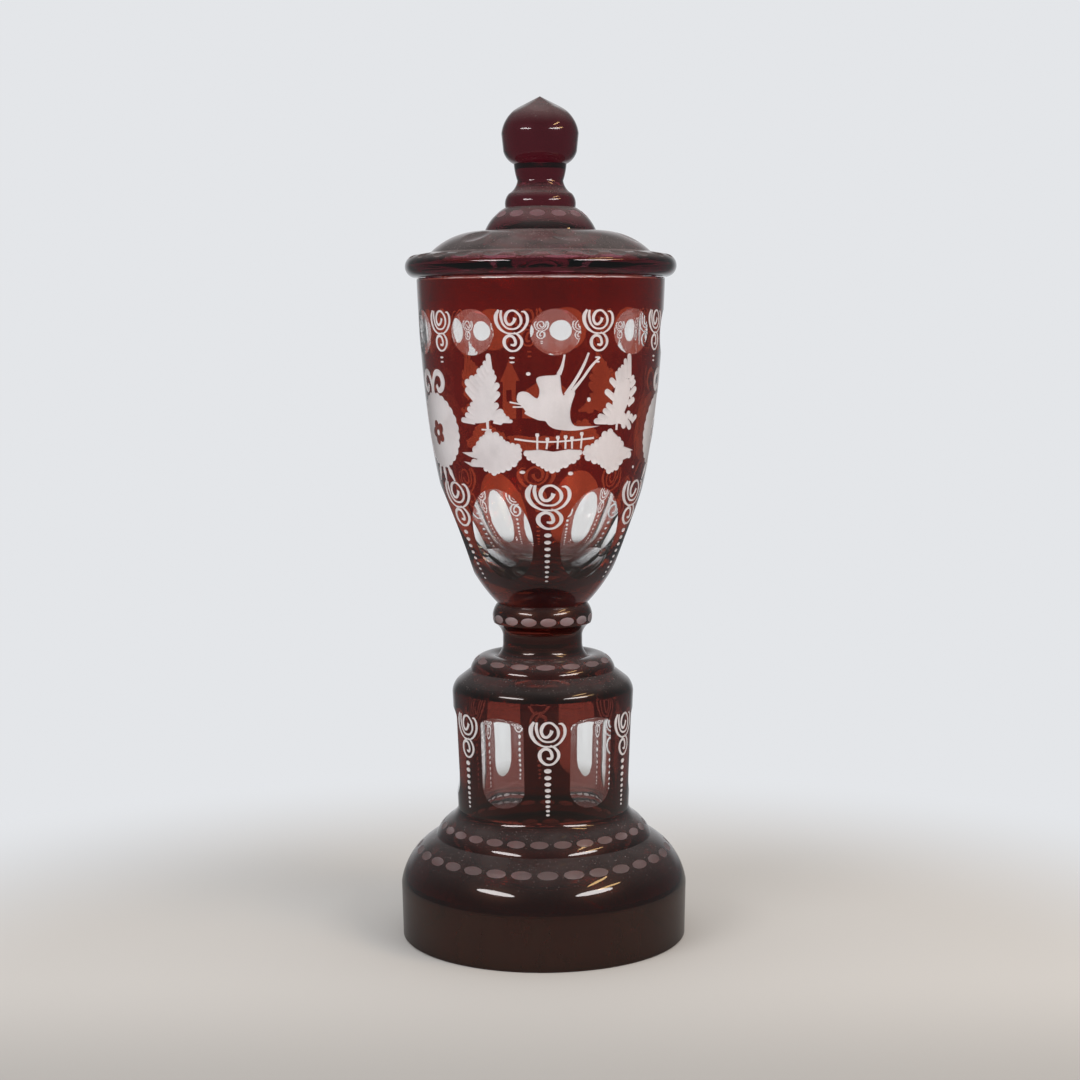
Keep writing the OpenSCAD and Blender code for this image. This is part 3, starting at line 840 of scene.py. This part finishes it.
@cache
def clear_glass():
    """Inside of the walls, with the faint ripple of blown glass."""
    glass = bpy.context.scene.pokal_glass
    s = new_finish("clear_glass")
    ripple = s.noise(45, 2, 0.4)
    colour = s.blend(ripple, rgba(glass.clear), rgba(glass.clear, 0.97))
    return s.finish(s.glass(colour, 0.015 + 0.02 * ripple, 1.0, s.bump(ripple, 0.0004)))


@cache
def window_glass():
    """Polished floor of a cut window with wheel marks, darkened low on the bowl by painted shade."""
    glass = bpy.context.scene.pokal_glass
    s = new_finish("window_glass")
    marks = s.noise(700, 2, 0.5, (1, 1, 0.12))
    clean = s.blend(marks, rgba(glass.clear), rgba(glass.clear, 0.96))
    rough = 0.02 + 0.06 * marks
    ridges = s.bump(marks, 0.00001)
    sides = []
    # Painted shade: the window's colour goes nearly black towards the foot of the bowl
    for shaded_h, fade, through in ((18, 13, 0.965), (12, 10, 1.0)):
        colour = s.blend(s.belt(BOWL_Z, BOWL_Z + shaded_h, fade), clean, rgba(glass.clear, 0.02))
        sides.append(s.glass(colour, rough, through, ridges))
    return s.finish(s.two_sided(*sides))


@cache
def printy_glass():
    """Matt ground of a printy that isn't polished out."""
    glass = bpy.context.scene.pokal_glass
    s = new_finish("printy_glass")
    grain = s.noise(2200, 3, 0.6)
    colour = s.blend(grain, rgba(glass.printy), rgba(glass.printy, 0.8))
    return s.finish(s.glass(colour, 0.3 + 0.2 * grain, 0.9))


@cache
def frosted_glass():
    """Matt wheel engraving, white in front of the ruby and aglow on the far wall."""
    glass = bpy.context.scene.pokal_glass
    s = new_finish("engraved_frost")
    grain = s.noise(1500, 3, 0.65)
    strokes = s.noise(420, 2, 0.5, (1, 1, 0.3))
    pale = s.blend(grain * 0.5 + strokes * 0.5, rgba(glass.frost, 0.78), rgba(glass.frost))
    thin = s.noise(75, 3, 0.5).ramp(0.45, 0.75)
    pale = s.blend(thin * 0.5, pale, rgba(glass.frost, 0.6))
    # Painted shade: the engraving greys where it is seen edge on
    pale = s.blend(s.slant().ramp(0.4, 0.95) * 0.75, pale, rgba(glass.frost, 0.35))
    ridges = s.bump(strokes, 0.0001)
    outside = s.glass(pale, 0.4 + 0.2 * grain, 0.28, ridges)
    inside = s.glass(rgba(glass.clear), 0.2 + 0.2 * grain, 0.95, ridges)
    return s.finish(s.two_sided(outside, inside))


@cache
def fused_seam():
    """Face inside the glass where two gathers are fused: nothing shows there."""
    s = new_finish("fused_seam")
    return s.finish(s.node("ShaderNodeBsdfTransparent"))


# In the order of the slots
FINISHES = (ruby_glass, maroon_glass, brown_glass, clear_glass,
            window_glass, printy_glass, frosted_glass, fused_seam)


# Pieces

class POKAL_OT_foot(bpy.types.Operator):
    """Hollow foot with two rings of printies"""

    bl_idname = "pokal.foot"
    bl_label = "Foot"

    def execute(self, context):
        base_r = FOOT_R - 0.5
        hollow_r = base_r - 7
        edge = 0.6
        outside = profile((base_r - edge, 0), ((base_r, edge), 0, 1), (LOWER_SWELL[0], 0, 6),
                          (*LOWER_SWELL[1:], 20), (*UPPER_SWELL[1:], 12), (DRUM_WALL[0], -0.4, 8))
        inside = profile((hollow_r, 0), ((hollow_r, RING_TOP), 0, 6), ((HOLLOW_R, DRUM_Z), 0.775, 20))
        piece = glass_object("foot_glass", turned([
            (BROWN, outside), (SEAM, [DRUM_WALL[0], inside[-1]]), (CLEAR, inside[::-1]),
            (WINDOW, [inside[0], outside[0]])]))
        carve(piece, oval_printies(LOWER_SWELL, 0.66, 31, 1.7, 45, 0.13), PRINTY)
        carve(piece, oval_printies(UPPER_SWELL, 0.57, 28, -2.4, 45, 0.13), PRINTY)
        finished(piece, "foot", "goblet")
        return {"FINISHED"}


class POKAL_OT_drum(bpy.types.Operator):
    """Hollow drum with six tall windows, its shoulder and its mound"""

    bl_idname = "pokal.drum"
    bl_label = "Drum"

    def execute(self, context):
        hollow_top_r = 34.1
        shoulder = (37, WALL_TOP + 5.4)
        outside = profile(DRUM_WALL[0], (DRUM_WALL[1], 0, 16), (shoulder, 0.575, 12), (MOUND[0], 0, 3),
                          (*MOUND[1:], 12))
        inside = profile((HOLLOW_R, DRUM_Z), ((hollow_top_r, WALL_TOP), 0, 12),
                         ((0, WALL_TOP + 7), 1.75, 20))
        piece = glass_object("drum_glass", turned([
            (BROWN, outside), (SEAM, [MOUND[1], (0, STEM_Z)]), (CLEAR, inside[::-1]),
            (SEAM, [inside[0], outside[0]])]))
        carve(piece, self.tall_windows(), WINDOW)
        carve(piece, oval_printies(MOUND, 0.38, 16, 2.4, 45, 0.2), PRINTY)
        row = dab_row(-10.5, 3.05, 0.085, 3.2, 0.2, 2)
        ring = ([2.8 + 60 * k for k in range(6)], 33.8, (0.83, 0.95), row)
        Wall(straight(*DRUM_WALL, 16)).engrave(piece, scrolls(ring))
        finished(piece, "drum", "goblet")
        return {"FINISHED"}

    def tall_windows(self):
        """Stones for the tall windows, laid along the leaning wall."""
        low_round, top_round, flat, depth, drop, width = 26, 6, 26.5, 1.35, 10, 36
        (low_r, low_z), (top_r, top_z) = DRUM_WALL
        side = profile((low_round, -low_round), ((0, 0), -QUARTER * low_round, 24), ((0, flat), 0, 1),
                       ((top_round, flat + top_round), -QUARTER * top_round, 12),
                       ((low_round, flat + top_round), 0, 1))
        lean = math.atan2(top_r - low_r, top_z - low_z)
        sink = Matrix.Translation((-depth, 0, -drop - flat))
        bm = bmesh.new()
        for place in ring_places(DRUM_WALL[1], lean, 6, 32.5):
            slab_stone(bm, side, width, place @ sink)
        return bm


class POKAL_OT_stem(bpy.types.Operator):
    """Solid neck and collar with a ring of printies"""

    bl_idname = "pokal.stem"
    bl_label = "Stem"

    def execute(self, context):
        neck_low, neck_top = (17.2, STEM_Z + 5.2), (17.2, STEM_Z + 9.2)
        outside = profile(MOUND[1], (neck_low, -0.65, 12), (neck_top, 0, 2), (COLLAR[0], -0.78, 12),
                          (*COLLAR[1:], 12))
        piece = glass_object("stem_glass", turned([
            (SEAM, [(0, STEM_Z), MOUND[1]]), (BROWN, outside), (SEAM, [COLLAR[1], (0, BOWL_Z)])]))
        carve(piece, oval_printies(COLLAR, 0.27, 16, 6.6, 17, 0.28), PRINTY)
        finished(piece, "stem", "goblet")
        return {"FINISHED"}


class POKAL_OT_bowl(bpy.types.Operator):
    """Deep bowl with round and oval windows and its engraving"""

    bl_idname = "pokal.bowl"
    bl_label = "Bowl"

    def execute(self, context):
        bottom_z = BOWL_Z + 12
        inside = curve((0, bottom_z), (36, bottom_z), (44.5, RIM_Z - 75.8), (MOUTH_R, RIM_Z - RIM_ROUND))
        bulge = RIM_ROUND * QUARTER
        rim = profile(BOWL_OUTSIDE[-1], ((BOWL_R - RIM_ROUND, RIM_Z), bulge, 5),
                      ((MOUTH_R + RIM_ROUND, RIM_Z), 0, 1), (inside[-1], bulge, 5))
        piece = glass_object("bowl_glass", turned([
            (SEAM, [(0, BOWL_Z), BOWL_OUTSIDE[0]]), (RUBY, BOWL_OUTSIDE), (WINDOW, rim),
            (CLEAR, inside[::-1])]))
        carve(piece, bowl_windows(RIM_Z - 22.6, 9, 6.6, 45, 1.05), WINDOW)
        carve(piece, bowl_windows(BOWL_Z + 31, 6, 33, 300, 2.4), WINDOW)
        layers = [[], [], [], []]
        for part in (self.scroll_rings(), self.front(), self.sides(), self.back()):
            for layer, forms in zip(layers, part):
                layer.extend(forms)
        Wall(BOWL_OUTSIDE).engrave(piece, layers)
        finished(piece, "bowl", "goblet")
        return {"FINISHED"}

    def scroll_rings(self):
        """Scrolls under the rim, and larger ones low on the bowl with a row of dabs under each."""
        dashes = together([dab(0, -9.8, 2.4, 0.9), dab(0, -11.6, 2.2, 0.8)])
        row = dab_row(-11.2, 3.35, 0.07, 3.1, 0.22, 1.9)
        return scrolls(([3.5 + 60 * k for k in range(6)], 49.5, (1, 1), row),
                       ([-13.4 + 40 * k for k in range(9)], 122.8, (0.76, 0.86), dashes))

    def front(self):
        """Bird in flight over a fence, between two trees."""
        crowns = [tree(LEFT_TREE, LEFT_LEAVES), tree(RIGHT_TREE, RIGHT_LEAVES)]
        trunks = [stroke(((-23, 23, 1.3), (-22.8, 19.2, 1.2))),
                  stroke(((33.6, 21.6, 1.2), (33.4, 18.8, 1.1)))]
        root = stroke(((-25.8, 19.5, 0.7), (-21.2, 19.4, 0.7)))
        spots = [dab(*spot) for spot in (
            (-5.3, 42.5, 1.9, 1.5), (19.8, 31.8, 1.6, 1.9), (45.2, 2.5, 1.5, 1.3), (-8, 1.9, 2.4, 1.4),
            (11.9, 1.2, 2.2, 1.6))]
        tail = [stroke(line) for line in (
            ((9.8, 33.9, 1.6), (13.7, 39.4, 1.3), (17.4, 45.6, 1.2), (19.8, 50.9, 0.9)),
            ((12.7, 35.5, 1.6), (16.7, 40, 1.1), (21.1, 45.6, 1.1), (24.9, 49.1, 0.8)),
            ((7.1, 42.2, 2), (8.3, 45, 1.4), (9, 47.7, 1), (9.5, 50.2, 0.8)))]
        beak = [stroke(((-13.1, 31, 0.7), (-8, 30, 0.6))), stroke(((-11.8, 29, 0.7), (-7.5, 29, 0.6)))]
        rail = stroke(((-11.2, 15.8, 0.8), (-3.1, 14.8, 0.75), (4.7, 14.6, 0.7), (14, 15.2, 0.75),
                       (22.2, 15.9, 0.9)))
        posts = [stroke(((low, foot, 0.8), (top, head - 1.8, 0.8), (top, head - 0.8, 1.7), (top, head, 1.2)))
                 for low, foot, top, head in (
                     (-1.8, 11.4, -1.8, 18.2), (1.9, 11.6, 2.3, 16.4), (6.4, 11.6, 6.6, 17.1),
                     (9.7, 11.6, 9.8, 17.3), (12.5, 11.6, 12.5, 16.7), (16.3, 11.6, 16.7, 18.5))]
        layers = ([*crowns, patch(smooth(BIRD)), bush(LEFT_BUSH), bush(RIGHT_BUSH), *spots],
                  [*trunks, *tail, *beak, bush(MIDDLE_BUSH)], [root, rail], posts)
        return laid(layers, 64, 0)

    def sides(self):
        """Round medallions with a flower, a bow of scrolls on top and leaves below."""
        heart = [point + Vector((0, -1)) for point in flower(3.6, 5, 0.5)]
        disc = patch(flower(15.6, 26, 0.045, 182), heart[::-1])
        ring = ((0.4, 15, 1.3), (0.6, 20.3, 2.3), (5, 24.4, 2.8), (9, 20.9, 3.1), (5.7, 16.9, 2.4),
                (3.6, 19.2, 1.6))
        bow = [stroke(ring), stroke([(-x - 0.8, y, w) for x, y, w in ring])]
        leaves = [stroke(((x, -14.5, 0.8), (1.5 * x, -17.6, 3), (2.1 * x, -21.8, 1)))
                  for x in (-3.6, 0, 3.6)]
        layers = ([disc, dab(0, -1, 2.6, 2.6)], [bow[0], *leaves], [bow[1]])
        return laid(layers, 82.3, -64.6, 82.5)

    def back(self):
        """House with a tower between two trees, on the side away from the front."""
        house = patch(((-14, 19), (9, 19), (9, 30), (11, 30), (-2.5, 38), (-16, 30), (-14, 30)),
                      *(block(x, 22.5, 3, 5)[::-1] for x in (-11, -4.5, 2.5)))
        tower = patch(((12, 19), (19, 19), (19, 36), (20.5, 36), (15.5, 46), (10.5, 36), (12, 36)),
                      block(14, 27, 3, 5)[::-1])
        crowns = [together([tree(LEFT_TREE, LEFT_LEAVES)], (-7, 0)), tree(RIGHT_TREE, RIGHT_LEAVES)]
        layers = ([house, tower, *crowns, bush(LEFT_BUSH), bush(RIGHT_BUSH)], [bush(MIDDLE_BUSH)])
        return laid(layers, 64, 180)


class POKAL_OT_lid(bpy.types.Operator):
    """Flanged lid with its dome, crown and the ring that sits in the bowl"""

    bl_idname = "pokal.lid"
    bl_label = "Lid"

    def execute(self, context):
        tenon_r = MOUTH_R - 1.2
        tenon_in = tenon_r - 3.6
        outside = profile((FLANGE_CORNER.x, LID_Z), (FLANGE_CORNER, FLANGE_BULGE, 20), (DOME[0], 0, 3),
                          (*DOME[1:], 16), (*CROWN[1:], 12))
        inside = profile((tenon_in, TENON_Z), ((tenon_in, LID_Z + 5), 0, 4), ((0, LID_Z + 14), 2.25, 20))
        under = [inside[0], *straight((tenon_r, TENON_Z), (tenon_r, LID_Z), 3), outside[0]]
        piece = glass_object("lid_glass", turned([
            (CLEAR, under), (MAROON, outside), (SEAM, [CROWN[1], (0, FINIAL_Z)]), (CLEAR, inside[::-1])]))
        carve(piece, self.scallops(), MAROON)
        carve(piece, round_printies(DOME, 0.42, 6, 15, 40, 0.9), MAROON)
        carve(piece, oval_printies(CROWN, 0.62, 13, -4.2, 20, 0.2), PRINTY)
        finished(piece, "lid", "cover")
        return {"FINISHED"}

    def scallops(self):
        """Stones for the scallops along the upper edge of the flange."""
        slope = math.radians(62)
        count = 26
        stone = ball_stone(9, 0.9, half_pitch(FLANGE_CORNER.x, count))
        return stone_ring(stone, FLANGE_CORNER, Vector((math.cos(slope), math.sin(slope))), count, 90)


class POKAL_OT_finial(bpy.types.Operator):
    """Solid finial with a faceted point"""

    bl_idname = "pokal.finial"
    bl_label = "Finial"

    def execute(self, context):
        z = FINIAL_Z
        cone_r, cone_z, apex_z, facet_depth = 9.4, z + 41.7, z + 47.1, 0.55
        outside = profile(
            CROWN[1], ((13.5, z + 5.8), 0.725, 12), ((9.75, z + 11.2), -0.77, 12),
            ((11.2, z + 18.2), 0.233, 12), ((15.6, z + 23.4), 0.743, 12), ((16.4, z + 30.9), 0, 3),
            ((cone_r, cone_z), 1.543, 12), ((0, apex_z), 0, 3))
        bm = turned([(SEAM, [(0, z), CROWN[1]]), (MAROON, outside)])
        slope = math.atan2(apex_z - cone_z, cone_r)
        for k in range(6):
            turn = upright(120 + k * 60)
            normal = turn.to_3x3() @ Vector((math.sin(slope), 0, math.cos(slope)))
            on_plane = Vector((0, 0, apex_z)) - normal * facet_depth
            cut = bmesh.ops.bisect_plane(
                bm, geom=[*bm.verts, *bm.edges, *bm.faces], dist=1e-5, plane_co=on_plane,
                plane_no=normal, clear_outer=True)["geom_cut"]
            rim = [edge for edge in cut if isinstance(edge, bmesh.types.BMEdge)]
            bmesh.ops.edgeloop_fill(bm, edges=rim, mat_nr=MAROON)
        bmesh.ops.recalc_face_normals(bm, faces=bm.faces)
        finished(glass_object("finial_glass", bm), "finial", "cover")
        return {"FINISHED"}


# Stage

class POKAL_OT_stage(bpy.types.Operator):
    """Floor, background, lamps and camera"""

    bl_idname = "pokal.stage"
    bl_label = "Stage"

    def execute(self, context):
        scene, stage = context.scene, context.scene.pokal_stage
        self.floor(stage)
        self.world(scene, stage)
        white, warm = (1, 0.97, 0.97), (1, 0.66, 0.3)
        self.lamp("lamp_left", -44, 28, 0, (0.64, 0.13), stage.lamp_power, white)
        self.lamp("lamp_right", 46, 28, 0, (0.64, 0.13), stage.lamp_power, white)
        self.lamp("lamp_warm_high", 59, 43, 14, (0.46, 0.055), 0.28 * stage.lamp_power, warm)
        self.lamp("lamp_warm_low", 63, 31, 0, (0.46, 0.045), 0.23 * stage.lamp_power, warm)
        self.camera(scene)
        scene.view_settings.view_transform = "Standard"
        return {"FINISHED"}

    def floor(self, stage):
        """Wide round floor that takes on the background's tone away from the goblet."""
        bm = bmesh.new()
        bmesh.ops.create_circle(bm, cap_ends=True, segments=96, radius=4)
        mesh = to_mesh("floor", bm)
        floor = placed("floor", mesh)
        s = new_finish("floor")
        where = s.node("ShaderNodeTexCoord", output="Object")
        nearer = s.node("ShaderNodeVectorMath", None, {0: where, 1: (0, 0.12, 0)})
        reach = s.node("ShaderNodeVectorMath", {"operation": "LENGTH"}, {0: nearer}, "Value")
        toward = s.node("ShaderNodeVectorMath", {"operation": "NORMALIZE"}, {0: where})
        # Painted shade: the floor darkens towards the camera, and much more where the glass mirrors it
        front = s.axis(where, "Y").ramp(-0.21, -0.06)
        mirrored = s.node("ShaderNodeLightPath", output="Is Glossy Ray")
        tone = s.blend(front, rgba(stage.floor, 0.72), rgba(stage.floor))
        tone = s.blend(mirrored * 0.5, tone, rgba(stage.floor, 0.1))
        near = s.node("ShaderNodeBsdfDiffuse", None, {"Color": tone})
        glow = s.node("ShaderNodeEmission", None, {
            "Color": rgba(stage.wall), "Strength": self.level(s, toward)})
        mesh.materials.append(s.finish(s.mix(reach.ramp(0.22, 0.44), near, glow)))
        floor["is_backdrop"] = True

    def level(self, s, toward):
        """Full where it is seen, through the glass too, and dimmer in front where the glass mirrors it."""
        camera, through, mirrored = (s.node("ShaderNodeLightPath", output=name) for name in (
            "Is Camera Ray", "Is Transmission Ray", "Is Glossy Ray"))
        seen = (camera + through).ramp(0, 1)
        room = 0.26 + 0.6 * s.axis(toward, "Y").ramp(0.8, 1)
        return seen + (1 - seen) * (mirrored * room + (1 - mirrored) * 0.9)

    def world(self, scene, stage):
        """Pale background all round."""
        s = Shader(bpy.data.worlds.new("studio"), "ShaderNodeOutputWorld")
        toward = s.node("ShaderNodeTexCoord", output="Generated")
        scene.world = s.finish(s.node("ShaderNodeBackground", None, {
            "Color": rgba(stage.wall), "Strength": self.level(s, toward)}))

    def lamp(self, name, azimuth, elevation, tilt, size, power, colour):
        """Oval soft lamp aimed at the middle of the goblet."""
        light = bpy.data.lights.new(name, "AREA")
        light.shape, light.energy, light.color = "ELLIPSE", power, colour
        light.size, light.size_y = size
        lamp = placed(name, light)
        middle, distance = Vector((0, 0, 0.2)), 1.1
        a, e = math.radians(azimuth), math.radians(elevation)
        back = Vector((math.sin(a) * math.cos(e), -math.cos(a) * math.cos(e), math.sin(e)))
        lamp.location = middle + back * distance
        turn = back.to_track_quat("Z", "Y").to_matrix() @ Matrix.Rotation(math.radians(tilt), 3, "Z")
        lamp.rotation_euler = turn.to_euler()

    def camera(self, scene):
        """Camera as fitted to the photograph."""
        data = bpy.data.cameras.new("camera")
        data.lens, data.sensor_width = 69.1, 36
        camera = placed("camera", data)
        camera.location = (-0.0009, -0.8903, 0.2673)
        camera.rotation_mode = "QUATERNION"
        pitch = Matrix.Rotation(math.radians(90 - 6.07), 3, "X")
        roll = Matrix.Rotation(math.radians(-0.3), 3, "Z")
        camera.rotation_quaternion = (pitch @ roll).to_quaternion()
        scene.camera = camera


class POKAL_PT_panel(bpy.types.Panel):
    """Pieces of the goblet and its stage"""

    bl_label = "Pokal"
    bl_idname = "POKAL_PT_panel"
    bl_space_type = "VIEW_3D"
    bl_region_type = "UI"
    bl_category = "Pokal"

    def draw(self, context):
        for step in STEPS:
            self.layout.operator(step.bl_idname)
        for group in (context.scene.pokal_glass, context.scene.pokal_cutting, context.scene.pokal_stage):
            for name in group.__annotations__:
                self.layout.prop(group, name)


STEPS = (POKAL_OT_stage, POKAL_OT_foot, POKAL_OT_drum, POKAL_OT_stem, POKAL_OT_bowl, POKAL_OT_lid,
         POKAL_OT_finial)
CLASSES = (PokalGlass, PokalCutting, PokalStage, *STEPS, POKAL_PT_panel)


def register():
    """Adds the settings, the operators and the panel."""
    for kind in CLASSES:
        bpy.utils.register_class(kind)
    bpy.types.Scene.pokal_glass = PointerProperty(type=PokalGlass)
    bpy.types.Scene.pokal_cutting = PointerProperty(type=PokalCutting)
    bpy.types.Scene.pokal_stage = PointerProperty(type=PokalStage)


def unregister():
    """Takes them away again."""
    del bpy.types.Scene.pokal_stage
    del bpy.types.Scene.pokal_cutting
    del bpy.types.Scene.pokal_glass
    for kind in reversed(CLASSES):
        bpy.utils.unregister_class(kind)


def main():
    """Builds the stage and every piece."""
    register()
    bpy.ops.pokal.stage()
    bpy.ops.pokal.foot()
    bpy.ops.pokal.drum()
    bpy.ops.pokal.stem()
    bpy.ops.pokal.bowl()
    bpy.ops.pokal.lid()
    bpy.ops.pokal.finial()
    boxes = {"cad": CAD_BOX, "visual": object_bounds()}
    {name: [list(corner) for corner in box] for name, box in boxes.items()}


if __name__ == "__main__":
    main()
